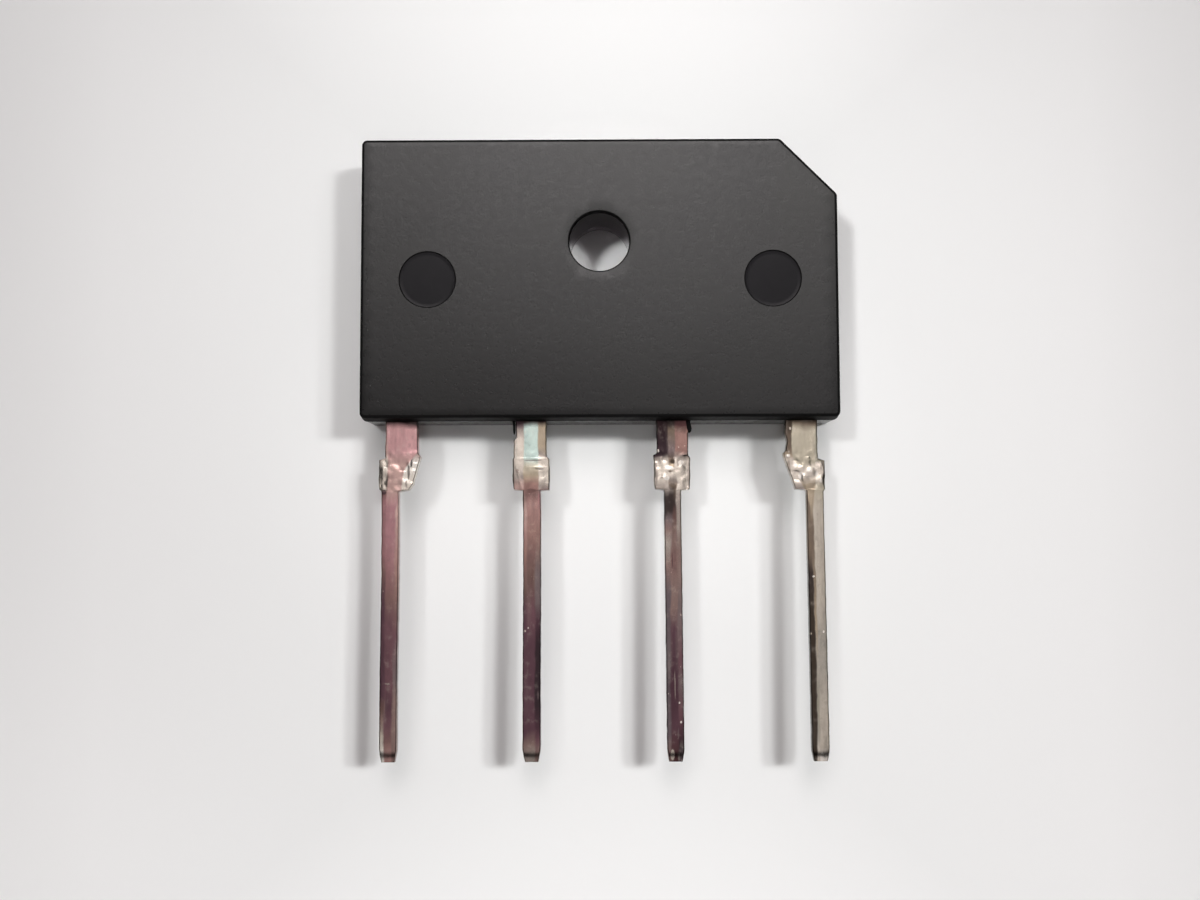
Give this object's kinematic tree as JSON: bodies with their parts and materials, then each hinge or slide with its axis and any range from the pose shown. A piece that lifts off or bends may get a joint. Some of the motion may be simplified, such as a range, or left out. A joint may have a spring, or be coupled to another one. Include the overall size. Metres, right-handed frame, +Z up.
{
  "type": "bridge rectifier",
  "caption": "Flat moulded single-in-line bridge rectifier with a screw hole, a cut corner and a row of stamped leads, lying on its marked face.",
  "frame": {"origin": "the screw hole's axis on the resting face (the marked face)", "axes": "+Z up from the marked face to the heatsink face, -Y along the leads away from the body, +X toward the positive lead and the cut corner"},
  "size_m": [0.025, 0.0324, 0.0046],
  "materials": {
    "epoxy": "matte moulding compound, fine grain",
    "tinned_copper": "solder-dipped stamped copper, shiny and wavy",
    "copper": "bare stamped copper",
    "silicon": "diced silicon, glass-passivated",
    "solder": "reflowed solder"
  },
  "bodies": {
    "root": {"epoxy_body": "epoxy", "lead_negative": "tinned_copper", "lead_ac_2": "tinned_copper", "lead_ac_1": "tinned_copper", "lead_positive": "tinned_copper", "diode_chip_1": "silicon", "diode_chip_2": "silicon", "diode_chip_3": "silicon", "diode_chip_4": "silicon", "jumper_ac_1": "copper", "jumper_ac_2": "copper", "jumper_negative": "copper", "chip_solder_1": "solder", "chip_solder_2": "solder", "chip_solder_3": "solder", "chip_solder_4": "solder", "contact_solder_1": "solder", "contact_solder_2": "solder", "contact_solder_3": "solder", "contact_solder_4": "solder", "jumper_solder_ac_1": "solder", "jumper_solder_ac_2": "solder", "jumper_solder_negative": "solder"}
  },
  "joints": []
}
